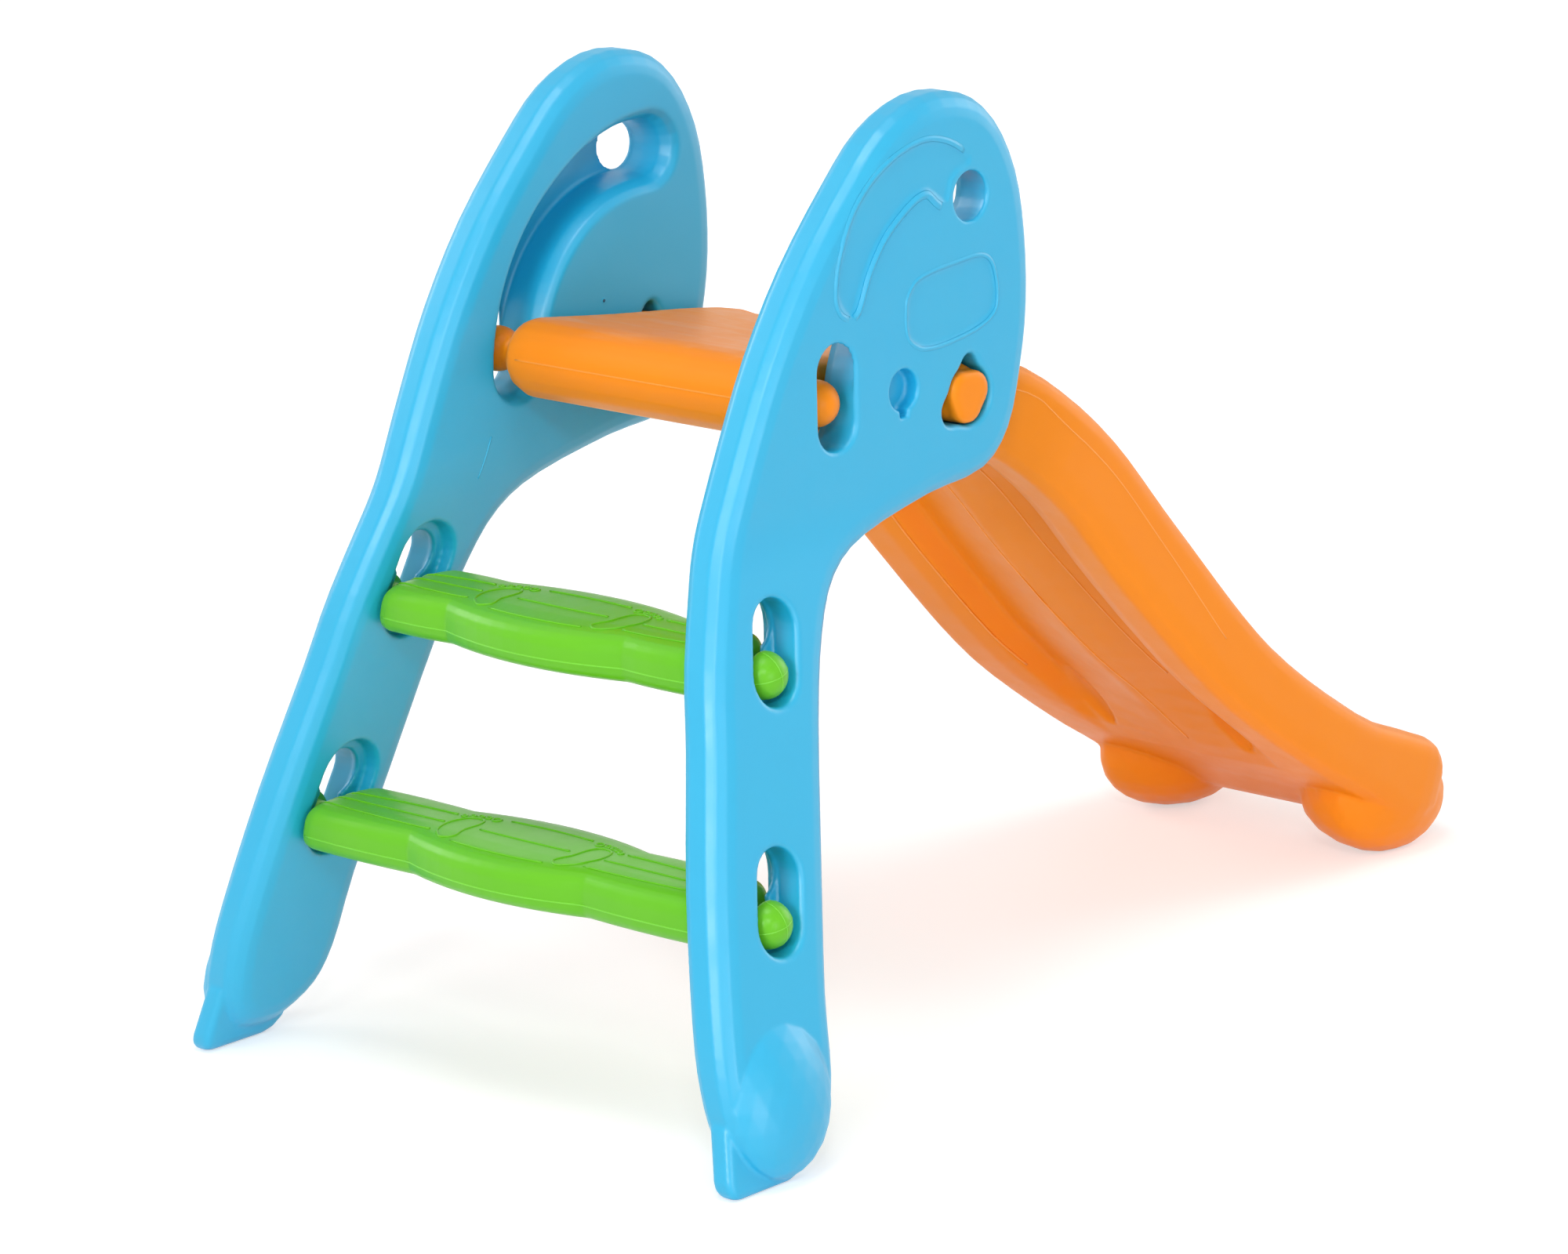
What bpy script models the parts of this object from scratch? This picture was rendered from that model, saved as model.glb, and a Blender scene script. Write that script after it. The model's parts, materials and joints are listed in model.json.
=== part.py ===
"""Folding play slide for small children, in blow moulded plastic.

Two bent side panels carry two steps, whose ball ends hook into keyhole recesses.
The platform and the chute are one moulding. Its front bosses turn in the panels,
and its rear ball pegs run in a curved guide on the inside of each panel.
+X points down the slide, +Z is up, and the floor is z = 0. Sizes are in metres.
"""
import math

import bpy
import bmesh
from mathutils import Vector
from mathutils.bvhtree import BVHTree

# Side panels
PANEL_T = 0.040             # thickness
EDGE_R = 0.018              # rounding of the rim
INNER_HALF_GAP = 0.135      # middle of the slide to a panel's inner face, above the knee
KNEE_Z = 0.419              # height where the legs start to spread
KNEE_LENGTH = 0.040         # height over which the bend takes place
SPLAY = 0.255               # sideways run of the leg for each metre down
LEG_W = 0.116               # width of the leg, front to back
LEG_BACK = 0.004            # how far the leg's middle lies behind the step pins

# Hinge and guide
HINGE_X = 0.3705
HINGE_Z = 0.484
BOSS_R = 0.0214             # round part of the boss, and its farthest corner
BOSS_CLEAR = 0.0009
BOSS_PROUD = 0.0015         # boss end beyond the panel's outer face
BOSS_ROUND = 0.66           # share of the panel's thickness in which the boss is round
GUIDE_R = 0.1435            # hinge axis to the middle of the guide
REST_ANGLE = 173.2          # where the peg lies round the hinge in use, degrees
OPEN_STOP = 178.4           # lower end of the guide
FOLD_STOP = 88.4            # round hole at the upper end of the guide
PEG_R = 0.0172              # ball on the rear pegs
PEG_NECK_R = 0.0105
GUIDE_CLEAR = 0.0016        # round the ball, in the guide
GUIDE_FLARE = 0.0055        # widening of the guide's outer side towards its mouth
GUIDE_LOW_FLARE = 0.0110    # the same on the side of the hinge
GUIDE_END_FLARE = 0.0125    # the same at the guide's upper end
GUIDE_WEB = 0.0014          # wall left between guide and crescent
WEB_CLEAR = 0.0004          # ball to that wall
CRESCENT_DEPTH = 0.0014
SLOT_TOP_UP = 0.0422        # hinge axis up to the upper centre of the rear slot
SLOT_SIDE = 0.0020          # room beside the ball in the slot
MOUTH_FLARE = 0.0028        # rounded rims of holes on the outer face

# Other recesses of the panel
KEY_R = 0.0150
KEY_DEPTH = 0.012
KEY_BACK = 0.0715           # hinge to the middle recess
KEY_UP = 0.0163
BADGE_W = 0.0946            # plain shallow field
BADGE_H = 0.0538
BADGE_DEPTH = 0.0012
BULGE_H = 0.014             # swelling at the foot of the leg
TOE_T = 0.019               # thickness of the toe
TOE_L = 0.060
TOE_IN = 0.020              # toe's heel ahead of the leg's rear line
TOE_EDGE = 0.0055
TOE_H = 0.060

# Steps
FIRST_STEP_X = 0.0875
FIRST_STEP_Z = 0.1690
STEP_RISE = 0.1610
LEG_LEAN = 0.288            # forward run of the ladder for each metre up
STEP_T = 0.038
STEP_MID_D = 0.108          # depth in the middle
STEP_WAIST_D = 0.077        # depth at the two waists
STEP_WAIST_Y = 0.086        # from the middle to a waist
STEP_END_SWELL = 0.005      # widening between a waist and the end
STEP_RAISE = 0.0018          # tread above the line of its pins
STEP_END_CLEAR = 0.0004
BALL_R = 0.0175
NECK_R = 0.0105
BALL_BACK = 0.0070          # how far the ball reaches back from its widest line
BALL_PROUD = 0.0050         # ball beyond the panel's outer face
HOOK_LIFT = 0.0330          # drop of the ball from its entry hole
ENTRY_CLEAR = 0.0015
HOOK_CLEAR = 0.0012
SEAT_GAP = 0.0003
POCKET_D = 0.0225           # outer recess
POCKET_SIDE = 0.0032        # room beside the ball in the outer recess
WEB_T = 0.0050              # wall with the keyhole
BACK_POCKET_GROW = 0.006    # how much larger the inner recess is

# Platform and chute
CHUTE_HALF_W = 0.129        # between the panels
SLOPE_HALF_W = 0.139
END_HALF_W = 0.149
DECK_T = 0.059
DECK_NOSE_BACK = 0.1657     # hinge axis to the rear of the platform
DECK_NOSE_UP = 0.0145       # hinge axis to the middle of its rounded rear
RAIL_H = 0.071              # depth of the hollow rails under the rim
RAIL_W = 0.047              # width of a rail, from the trough to its outer wall
TROUGH_DEPTH = 0.033
KEEL_H = 0.058              # middle ridge of the underside, below the rim
RIDGE_H = 0.064             # inner edge of the rails, below the rim
CHANNEL_H = 0.046           # roof of the long channels, below the rim
RUNOUT_H = 0.058            # depth of the moulding behind the end
CHUTE_FOOT_X = 0.943
CHUTE_FOOT_Y = 0.113        # middle of a foot
CHUTE_FOOT_L = 0.068
CHUTE_FOOT_OUT = 0.034      # from its middle outwards
CHUTE_FOOT_IN = 0.066       # from its middle inwards
CHUTE_FOOT_H = 0.046
CHUTE_RUN = 0.5935          # hinge axis to the end of the rim, along the floor
CHUTE_FALL = 0.3905         # the same downwards
END_ROLL_R = 0.037
LEAF_L = 0.092              # leaf-shaped pockets of the underside
LEAF_W = 0.024
LEAF_DEPTH = 0.006
LEAF_Y = 0.070

BLUE = (0.102, 0.521, 0.791)
GREEN = (0.145, 0.565, 0.050)
ORANGE = (0.863, 0.262, 0.028)

PANEL_MID = INNER_HALF_GAP + PANEL_T / 2
HINGE = Vector((HINGE_X, HINGE_Z))


def material(name, colour):
    mat = bpy.data.materials.new(name)
    mat.use_nodes = True
    shader = mat.node_tree.nodes["Principled BSDF"]
    shader.inputs["Base Color"].default_value = (*colour, 1.0)
    shader.inputs["Roughness"].default_value = 0.42
    shader.inputs["Metallic"].default_value = 0.0
    return mat


def add_object(name, bm, mat=None):
    bmesh.ops.recalc_face_normals(bm, faces=bm.faces)
    mesh = bpy.data.meshes.new(name)
    bm.to_mesh(mesh)
    bm.free()
    obj = bpy.data.objects.new(name, mesh)
    bpy.context.scene.collection.objects.link(obj)
    if mat:
        mesh.materials.append(mat)
    return obj


def loft(rings):
    """A closed body through rings of the same number of points, with flat ends."""
    bm = bmesh.new()
    rows = [[bm.verts.new(p) for p in ring] for ring in rings]
    count = len(rings[0])
    for low, high in zip(rows, rows[1:]):
        for i in range(count):
            j = (i + 1) % count
            bm.faces.new((low[i], low[j], high[j], high[i]))
    bm.faces.new(rows[0][::-1])
    bm.faces.new(rows[-1])
    return bm


def combine(target, tool, operation):
    """Cut a tool from the target, or join it, and remove the tool."""
    modifier = target.modifiers.new(operation, "BOOLEAN")
    modifier.operation = operation
    modifier.solver = "EXACT"
    modifier.object = tool
    graph = bpy.context.evaluated_depsgraph_get()
    mesh = bpy.data.meshes.new_from_object(target.evaluated_get(graph))
    target.modifiers.clear()
    old = target.data
    target.data = mesh
    bpy.data.meshes.remove(old)
    mesh_of_tool = tool.data
    bpy.data.objects.remove(tool)
    bpy.data.meshes.remove(mesh_of_tool)


def tidy(obj):
    """Split the faces into triangles and merge the doubled points that cuts leave."""
    bm = bmesh.new()
    bm.from_mesh(obj.data)
    bmesh.ops.triangulate(bm, faces=bm.faces)
    bmesh.ops.remove_doubles(bm, verts=bm.verts, dist=0.00001)
    bm.to_mesh(obj.data)
    bm.free()


def smooth_closed(points, steps):
    """Points on a smooth closed curve through the given ones."""
    out = []
    count = len(points)
    for i in range(count):
        a, b, c, d = (Vector(points[(i + k - 1) % count]) for k in range(4))
        for s in range(steps):
            t = s / steps
            out.append(0.5 * (2 * b + (c - a) * t + (2 * a - 5 * b + 4 * c - d) * t * t
                              + (3 * b - a - 3 * c + d) * t ** 3))
    return out


def smooth_open(points, spacing):
    """Points on a smooth open curve through the given ones."""
    pts = [Vector(p) for p in points]
    pts = [2 * pts[0] - pts[1]] + pts + [2 * pts[-1] - pts[-2]]
    out = []
    for a, b, c, d in zip(pts, pts[1:], pts[2:], pts[3:]):
        steps = max(1, round((c - b).length / spacing))
        for s in range(steps):
            t = s / steps
            out.append(0.5 * (2 * b + (c - a) * t + (2 * a - 5 * b + 4 * c - d) * t * t
                              + (3 * b - a - 3 * c + d) * t ** 3))
    out.append(pts[-2])
    return out


def inset(points, distance):
    """The closed outline moved towards its inside; it runs anticlockwise."""
    out = []
    count = len(points)
    for i, p in enumerate(points):
        along = (points[(i + 1) % count] - points[i - 1]).normalized()
        out.append(p + Vector((-along.y, along.x)) * distance)
    return out


def circle(centre, radius, count=28, first=0.0):
    return [Vector(centre) + radius * Vector((math.cos(a), math.sin(a)))
            for a in (first + 2 * math.pi * i / count for i in range(count))]


def capsule(low, high, radius, count=12):
    """Outline of a straight slot with round ends."""
    low, high = Vector(low), Vector(high)
    start = math.atan2(high.y - low.y, high.x - low.x) - math.pi / 2
    out = []
    for centre, first in ((high, start), (low, start + math.pi)):
        for i in range(count + 1):
            a = first + math.pi * i / count
            out.append(centre + radius * Vector((math.cos(a), math.sin(a))))
    return out


def polar(radius, degrees):
    a = math.radians(degrees)
    return HINGE + radius * Vector((math.cos(a), math.sin(a)))


def spread(z):
    """How far a panel's middle lies outside its upper plane at a height."""
    half = KNEE_LENGTH / 2
    below = KNEE_Z - z
    if below <= -half:
        return 0.0
    if below >= half:
        return SPLAY * below
    return SPLAY * (below + half) ** 2 / (4 * half)


def leg_x(z):
    """Middle of the ladder's pins at a height."""
    return FIRST_STEP_X + (z - FIRST_STEP_Z) * LEG_LEAN


def panel_outline():
    """Side view of a panel, anticlockwise from the front of the foot."""
    def rear(z, more=0.0):
        return (leg_x(z) - LEG_BACK - LEG_W / 2 + more, z)

    def front(z, more=0.0):
        return (leg_x(z) - LEG_BACK + LEG_W / 2 + more, z)

    def head(dx, dz):
        return (HINGE_X + dx, HINGE_Z + dz)

    points = [
        front(0.030, -0.001), front(0.060, 0.006), front(0.115, 0.001), front(0.200),
        front(0.290), front(0.345, 0.005),
        head(-0.150, -0.104), head(-0.112, -0.084), head(-0.036, -0.068), head(0.022, -0.061),
        head(0.052, -0.035), head(0.067, 0.010), head(0.0745, 0.055), head(0.0735, 0.107),
        head(0.064, 0.155), head(0.041, 0.195), head(0.008, 0.2165), head(-0.038, 0.2205),
        head(-0.083, 0.2030), head(-0.120, 0.170), head(-0.168, 0.117), head(-0.206, 0.060),
        head(-0.234, 0.004), head(-0.262, -0.060),
        rear(0.345, 0.000), rear(0.290), rear(0.200, -0.002), rear(0.115, 0.002),
        rear(0.070, 0.009), rear(0.036, 0.022), rear(0.014, 0.044),
        (leg_x(0.009) + 0.010, 0.009), front(0.013, -0.024),
    ]
    return smooth_closed(points, 3)


def across(points, depth):
    """An outline placed at a depth under the outer face of the left panel."""
    y = PANEL_MID + PANEL_T / 2 - depth
    return [Vector((p.x, y, p.y)) for p in points]


def cutter(levels):
    """A body to cut from a panel; levels are (outline, depth) from outside to inside."""
    return add_object("cutter", loft([across(o, d) for o, d in levels]))


def flared(outline_at, depth, flare=MOUTH_FLARE):
    """Levels of a recess whose rim is rounded at the outer face."""
    return [
        (outline_at(flare), -0.004),
        (outline_at(flare), 0.0),
        (outline_at(flare * 0.42), flare * 0.28),
        (outline_at(0.0), flare),
        (outline_at(0.0), depth),
    ]


def flared_through(outline_at, flare=MOUTH_FLARE):
    """Levels of a hole with rounded rims on both faces."""
    back = PANEL_T - flare
    return flared(outline_at, back, flare) + [
        (outline_at(flare * 0.42), PANEL_T - flare * 0.28),
        (outline_at(flare), PANEL_T),
        (outline_at(flare), PANEL_T + 0.004),
    ]


def hinge_hole(grow):
    """Teardrop hole: round where the boss turns, drawn out at the top and the back."""
    radius = BOSS_R + BOSS_CLEAR + grow
    tips = ((0.0010, 0.0220, 0.0085), (-0.0185, -0.0085, 0.0115))
    out = []
    for i in range(40):
        a = 2 * math.pi * i / 40
        d = Vector((math.cos(a), math.sin(a)))
        reach = radius
        for x, z, tip in tips:
            c = Vector((x, z))
            tip_r = tip + grow
            along = c.dot(d)
            gap = tip_r ** 2 - (c.length_squared - along ** 2)
            if gap > 0:
                reach = max(reach, along + math.sqrt(gap))
        out.append((a, reach))
    smooth = []
    for i in range(40):
        a = out[i][0]
        reach = (out[i - 1][1] + 2 * out[i][1] + out[(i + 1) % 40][1]) / 4
        reach = max(reach, radius)
        smooth.append(HINGE + reach * Vector((math.cos(a), math.sin(a))))
    return smooth


def boss_outline(scale=1.0):
    """Rounded three-cornered end of the boss, inside the circle that it turns in."""
    corner = BOSS_R * 0.66
    out = []
    for middle in (20.0, 150.0, 265.0):
        centre = Vector((math.cos(math.radians(middle)), math.sin(math.radians(middle))))
        centre *= BOSS_R - corner
        for i in range(12):
            a = math.radians(middle - 58 + 116 * i / 11)
            out.append(HINGE + scale * (centre + corner * Vector((math.cos(a), math.sin(a)))))
    return out


def guide_outline(low, high, end):
    """The curved guide seen from the side, from its lower end to the round hole.

    low and high widen the side of the hinge and the far side, and end the round end.
    """
    plain = PEG_R + GUIDE_CLEAR
    arc = 22

    def width(k, side, most):
        t = max(0.0, (k / arc - 0.55) / 0.45)
        return plain + side + (most - side) * t * t * (3 - 2 * t)

    def round_end(r_low, r_high, angle, first):
        middle = GUIDE_R + (r_high - r_low) / 2
        radius = (r_low + r_high) / 2
        return [polar(middle, angle) + radius * Vector((math.cos(a), math.sin(a)))
                for a in (math.radians(angle + first + 18 * i) for i in range(1, 10))]

    low_end = max(low, end)
    angles = [OPEN_STOP + (FOLD_STOP - OPEN_STOP) * k / arc for k in range(arc + 1)]
    out = [polar(GUIDE_R - width(k, low, low_end), a) for k, a in enumerate(angles)]
    out += round_end(plain + low_end, plain + end, FOLD_STOP, -180)
    out += [polar(GUIDE_R + width(k, high, end), angles[k]) for k in range(arc, -1, -1)]
    out += round_end(plain + low, plain + high, OPEN_STOP, 0)
    return out


def crescent_outline(grow):
    """Shallow crescent on the outer face, behind the guide's arc.

    The points are shares of the guide's radius, from the hinge axis.
    """
    points = [
        (-0.968, 0.672), (-0.935, 0.840), (-0.843, 1.017), (-0.695, 1.167), (-0.518, 1.266),
        (-0.313, 1.311), (-0.137, 1.275), (0.024, 1.183), (-0.066, 1.148), (-0.127, 1.098),
        (-0.143, 1.043), (-0.174, 1.008), (-0.289, 1.084), (-0.378, 1.079), (-0.496, 1.020),
        (-0.645, 0.908), (-0.764, 0.754), (-0.841, 0.592), (-0.886, 0.551),
    ]
    outline = smooth_closed([HINGE + GUIDE_R * Vector(p) for p in points[::-1]], 3)
    return inset(outline, -grow)


def badge_outline(grow):
    """Plain field on the outer face, a leaning form with round corners."""
    centre = HINGE + Vector((-0.0182, 0.0707))
    points = [
        (-1.00, 0.18), (-0.99, -0.55), (-0.80, -0.88), (-0.55, -1.00), (-0.10, -0.98),
        (0.53, -0.81), (0.90, -0.55), (1.00, -0.20), (0.96, 0.44), (0.84, 0.85),
        (0.60, 1.00), (0.19, 0.96), (-0.35, 0.88), (-0.76, 0.74), (-0.93, 0.48),
    ]
    outline = smooth_closed([centre + Vector((x * BADGE_W / 2, z * BADGE_H / 2))
                             for x, z in points], 3)
    return inset(outline, -grow)


def key_outline(grow):
    """Round recess with a small notch below."""
    centre = HINGE + Vector((-KEY_BACK, KEY_UP))
    radius = KEY_R + grow
    notch = 0.0042 + grow
    start = math.asin(notch / radius)
    out = []
    for i in range(27):
        a = -math.pi / 2 + start + (2 * math.pi - 2 * start) * i / 26
        out.append(centre + radius * Vector((math.cos(a), math.sin(a))))
    drop = KEY_R + 0.0050 + grow
    out.append(centre + Vector((-notch, -drop)))
    out.append(centre + Vector((notch, -drop)))
    return out


def step_centre(index):
    z = FIRST_STEP_Z + STEP_RISE * index
    return Vector((leg_x(z), z))


def hook_top(index):
    """Middle of the entry hole, up the slope of the leg from the pin's seat."""
    lean = Vector((LEG_LEAN, 1.0)).normalized()
    return step_centre(index) + lean * HOOK_LIFT


def panel(name, mat):
    """The left panel, made flat and bent at the knee at the end."""
    outline = panel_outline()
    r = EDGE_R
    half = PANEL_T / 2
    levels = []
    for a in (90, 66, 42, 18):
        s = math.sin(math.radians(a))
        c = math.cos(math.radians(a))
        levels.append((r * (1 - c), half - r * (1 - s)))
    rings = []
    for shift, off in levels:
        rings.append(across(inset(outline, shift), half - off))
    for shift, off in levels[::-1]:
        rings.append(across(inset(outline, shift), half + off))
    obj = add_object(name, loft(rings), mat)

    # Swelling on the outside of the foot
    bm = bmesh.new()
    bmesh.ops.create_icosphere(bm, subdivisions=3, radius=1.0)
    low = Vector((leg_x(0.055) - LEG_BACK + 0.008, 0.059))
    for v in bm.verts:
        x, y, z = v.co
        v.co = (low.x + x * 0.050 + z * 0.006,
                PANEL_MID + half - 0.012 + y * (0.012 + BULGE_H), low.y + z * 0.055)
    combine(obj, add_object("bulge", bm), "UNION")

    # Flat toe that stands on the floor
    back = leg_x(0.0) - LEG_BACK - LEG_W / 2 + TOE_IN
    toe = [(back + 0.014, TOE_H), (back + 0.0085, 0.046), (back + 0.0040, 0.026),
           (back + 0.0008, 0.012), (back + 0.0012, 0.006), (back + 0.0045, 0.0015),
           (back + 0.0100, 0.0), (back + TOE_L / 2, 0.0), (back + TOE_L, 0.0),
           (back + TOE_L + 0.010, 0.0025), (back + TOE_L + 0.019, 0.0095),
           (back + TOE_L + 0.022, 0.019), (back + 0.045, TOE_H)]
    toe = [Vector(p) for p in toe]
    rings = []
    for a in (90, 55, 25, 0):
        s = math.sin(math.radians(a))
        c = math.cos(math.radians(a))
        rings.append((TOE_EDGE * (1 - c), TOE_T / 2 - TOE_EDGE * (1 - s)))
    rings += [(shift, -off) for shift, off in rings[::-1]]
    combine(obj, add_object("toe", loft([across(inset(toe, shift), half - off)
                                         for shift, off in rings])), "UNION")

    # Guide for the rear peg, cut from the inner face
    floor = CRESCENT_DEPTH + GUIDE_WEB

    def guide(share):
        return guide_outline(GUIDE_LOW_FLARE * share, GUIDE_FLARE * share,
                             GUIDE_END_FLARE * share)

    combine(obj, cutter([
        (guide(0.0), floor), (guide(0.10), floor + 0.012), (guide(0.28), PANEL_T - 0.012),
        (guide(0.62), PANEL_T - 0.0035), (guide(1.0), PANEL_T),
        (guide(1.0), PANEL_T + 0.004)]), "DIFFERENCE")

    # Rear slot, in which the peg lies in use
    slot_x = polar(GUIDE_R, REST_ANGLE).x + 0.0005
    slot_low = (slot_x, polar(GUIDE_R, OPEN_STOP).y)
    combine(obj, cutter(flared(
        lambda g: capsule(slot_low, (slot_x, HINGE_Z + SLOT_TOP_UP), PEG_R + SLOT_SIDE + g),
        PANEL_T * 0.6)), "DIFFERENCE")

    # Round hole, in which it snaps when folded
    combine(obj, cutter(flared(
        lambda g: circle(polar(GUIDE_R, FOLD_STOP), PEG_R + GUIDE_CLEAR * 0.5 + g, 32),
        PANEL_T * 0.5, 0.0015)), "DIFFERENCE")

    # Hinge hole
    combine(obj, cutter(flared_through(hinge_hole)), "DIFFERENCE")

    # Shallow forms of the outer face
    combine(obj, cutter([
        (crescent_outline(0.0016), -0.004), (crescent_outline(0.0016), 0.0),
        (crescent_outline(0.0), CRESCENT_DEPTH)]), "DIFFERENCE")
    combine(obj, cutter([
        (badge_outline(0.0012), -0.004), (badge_outline(0.0012), 0.0),
        (badge_outline(0.0), BADGE_DEPTH)]), "DIFFERENCE")
    combine(obj, cutter(flared(key_outline, KEY_DEPTH, 0.0012)), "DIFFERENCE")

    # Keyhole recesses for the steps
    for index in range(2):
        seat = step_centre(index)
        top = hook_top(index)
        lean = (top - seat).normalized()
        room = BALL_R + POCKET_SIDE
        combine(obj, cutter(flared(
            lambda g: capsule(seat, top, room + g), POCKET_D)), "DIFFERENCE")
        combine(obj, cutter([
            (capsule(seat, top, room + BACK_POCKET_GROW), POCKET_D + WEB_T),
            (capsule(seat, top, room + BACK_POCKET_GROW + 0.001), PANEL_T - 0.002),
            (capsule(seat, top, room + BACK_POCKET_GROW + 0.003), PANEL_T),
            (capsule(seat, top, room + BACK_POCKET_GROW + 0.003), PANEL_T + 0.004)]),
            "DIFFERENCE")
        slot_r = NECK_R + HOOK_CLEAR
        slot_seat = seat + lean * (HOOK_CLEAR - SEAT_GAP)
        combine(obj, cutter([
            (circle(top, BALL_R + ENTRY_CLEAR), POCKET_D - 0.003),
            (circle(top, BALL_R + ENTRY_CLEAR), POCKET_D + WEB_T + 0.003)]), "DIFFERENCE")
        combine(obj, cutter([
            (capsule(slot_seat, top, slot_r), POCKET_D - 0.003),
            (capsule(slot_seat, top, slot_r), POCKET_D + WEB_T + 0.003)]), "DIFFERENCE")

    # The bend at the knee: the whole leg spreads outwards below it
    bm = bmesh.new()
    bm.from_mesh(obj.data)
    for k in range(7):
        z = KNEE_Z + KNEE_LENGTH * (k / 6 - 0.5)
        bmesh.ops.bisect_plane(bm, geom=bm.verts[:] + bm.edges[:] + bm.faces[:],
                               plane_co=(0, 0, z), plane_no=(0, 0, 1), dist=0.00002)
    for v in bm.verts:
        v.co.y += spread(v.co.z)
    bm.to_mesh(obj.data)
    bm.free()
    tidy(obj)
    return obj


def mirrored(source, name):
    """The same form for the other side of the slide."""
    mesh = source.data.copy()
    mesh.name = name
    for v in mesh.vertices:
        v.co.y = -v.co.y
    mesh.flip_normals()
    obj = bpy.data.objects.new(name, mesh)
    bpy.context.scene.collection.objects.link(obj)
    return obj


def step(name, index, mat):
    """One tread with a ball on a neck at each end, as a single loft."""
    seat = step_centre(index)
    mid_y = PANEL_MID + spread(seat.y)
    face_y = mid_y - PANEL_T / 2
    end_y = face_y - STEP_END_CLEAR
    ball_y = mid_y + PANEL_T / 2 + BALL_PROUD - BALL_R
    count = 24

    def slab(y, depth, thick, shear=0.0):
        half_d, half_t = depth / 2, thick / 2
        out = []
        for i in range(count):
            a = 2 * math.pi * (i + 0.5) / count
            c, s = math.cos(a), math.sin(a)
            power = 0.62
            z = half_t * math.copysign(abs(s) ** power, s)
            x = half_d * math.copysign(abs(c) ** 0.42, c)
            out.append(Vector((seat.x + x, y - shear * (z + STEP_RAISE),
                               seat.y + z + STEP_RAISE)))
        return out

    def disc(y, radius):
        out = []
        for i in range(count):
            a = 2 * math.pi * (i + 0.5) / count
            out.append(Vector((seat.x + radius * math.cos(a), y,
                               seat.y + radius * math.sin(a))))
        return out

    def depth(y):
        if y < STEP_WAIST_Y:
            return STEP_MID_D - (STEP_MID_D - STEP_WAIST_D) * (y / STEP_WAIST_Y) ** 2
        t = (y - STEP_WAIST_Y) / (end_y - STEP_WAIST_Y)
        return STEP_WAIST_D + STEP_END_SWELL * 4 * t * (1 - t)

    half = []
    inner = end_y - 0.012
    places = [STEP_WAIST_Y * k / 6 for k in range(7)]
    places += [STEP_WAIST_Y + (inner - STEP_WAIST_Y) * k / 4 for k in range(1, 5)]
    for y in places:
        half.append(slab(y, depth(y), STEP_T, SPLAY * (y / inner) ** 6))
    for part, shrink in ((0.55, 0.10), (0.85, 0.30), (1.0, 0.62)):
        y = inner + 0.012 * part
        less = 0.012 * shrink
        half.append(slab(y, depth(y) - 2 * less, STEP_T - 2 * less, SPLAY))
    half.append(disc(end_y + 0.0040, NECK_R + 0.002))
    neck_end = ball_y - BALL_BACK * math.sqrt(1 - (NECK_R / BALL_R) ** 2)
    half.append(disc(end_y + 0.0075, NECK_R))
    half.append(disc(neck_end, NECK_R))
    first = 180 - math.degrees(math.asin(NECK_R / BALL_R))
    for k in range(1, 9):
        a = math.radians(first * (1 - k / 8) + 12 * k / 8)
        reach = BALL_R if a < math.pi / 2 else BALL_BACK
        half.append(disc(ball_y + reach * math.cos(a), BALL_R * math.sin(a)))
    half.append(disc(ball_y + BALL_R, 0.0012))
    other = [[Vector((p.x, -p.y, p.z)) for p in ring] for ring in half[:0:-1]]
    obj = add_object(name, loft(other + half), mat)
    tidy(obj)
    return obj


def rim_line():
    """Side view of the rim, from the back of the platform to the end of the chute.

    The shares are of the chute's run and fall, from the hinge axis.
    """
    shares = [
        (-0.1011, 0.0858), (0.0421, 0.0602), (0.1213, 0.0384), (0.1853, -0.0046),
        (0.2435, -0.0525), (0.3648, -0.2023), (0.4878, -0.4072), (0.6698, -0.7029),
        (0.8492, -0.9001), (0.9436, -0.9654), (1.0, -1.0),
    ]
    points = [(HINGE_X - DECK_NOSE_BACK + DECK_T / 2, HINGE_Z + DECK_NOSE_UP + DECK_T / 2)]
    points += [(HINGE_X + x * CHUTE_RUN, HINGE_Z + z * CHUTE_FALL) for x, z in shares]
    return smooth_open(points, 0.024)


def chute_section(t_trough, t_under, thick, half_w):
    """Half section from the middle of the top to the middle of the underside."""
    d = TROUGH_DEPTH * t_trough
    w = half_w
    inner = half_w - RAIL_W

    def under(value):
        return thick + (value - RAIL_H) * t_under

    return [
        (0.0, -d), (inner * 0.55, -d), (inner, -d), (inner + 0.010, -0.82 * d),
        (inner + 0.017, -0.40 * d), (inner + 0.023, -0.07 * d), (inner + 0.029, 0.0),
        (w - 0.010, -0.0006), (w - 0.003, -0.0050), (w, -0.0140),
        (w, -thick + 0.018), (w - 0.004, -thick + 0.006), (w - 0.014, -thick),
        (inner + 0.006, -under(RAIL_H - 0.002)), (inner - 0.009, -under(RIDGE_H)),
        (inner - 0.017, -under(CHANNEL_H)), (inner - 0.028, -under(CHANNEL_H)),
        (0.020, -under(KEEL_H - 0.003)), (0.0, -under(KEEL_H)),
    ]


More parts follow.
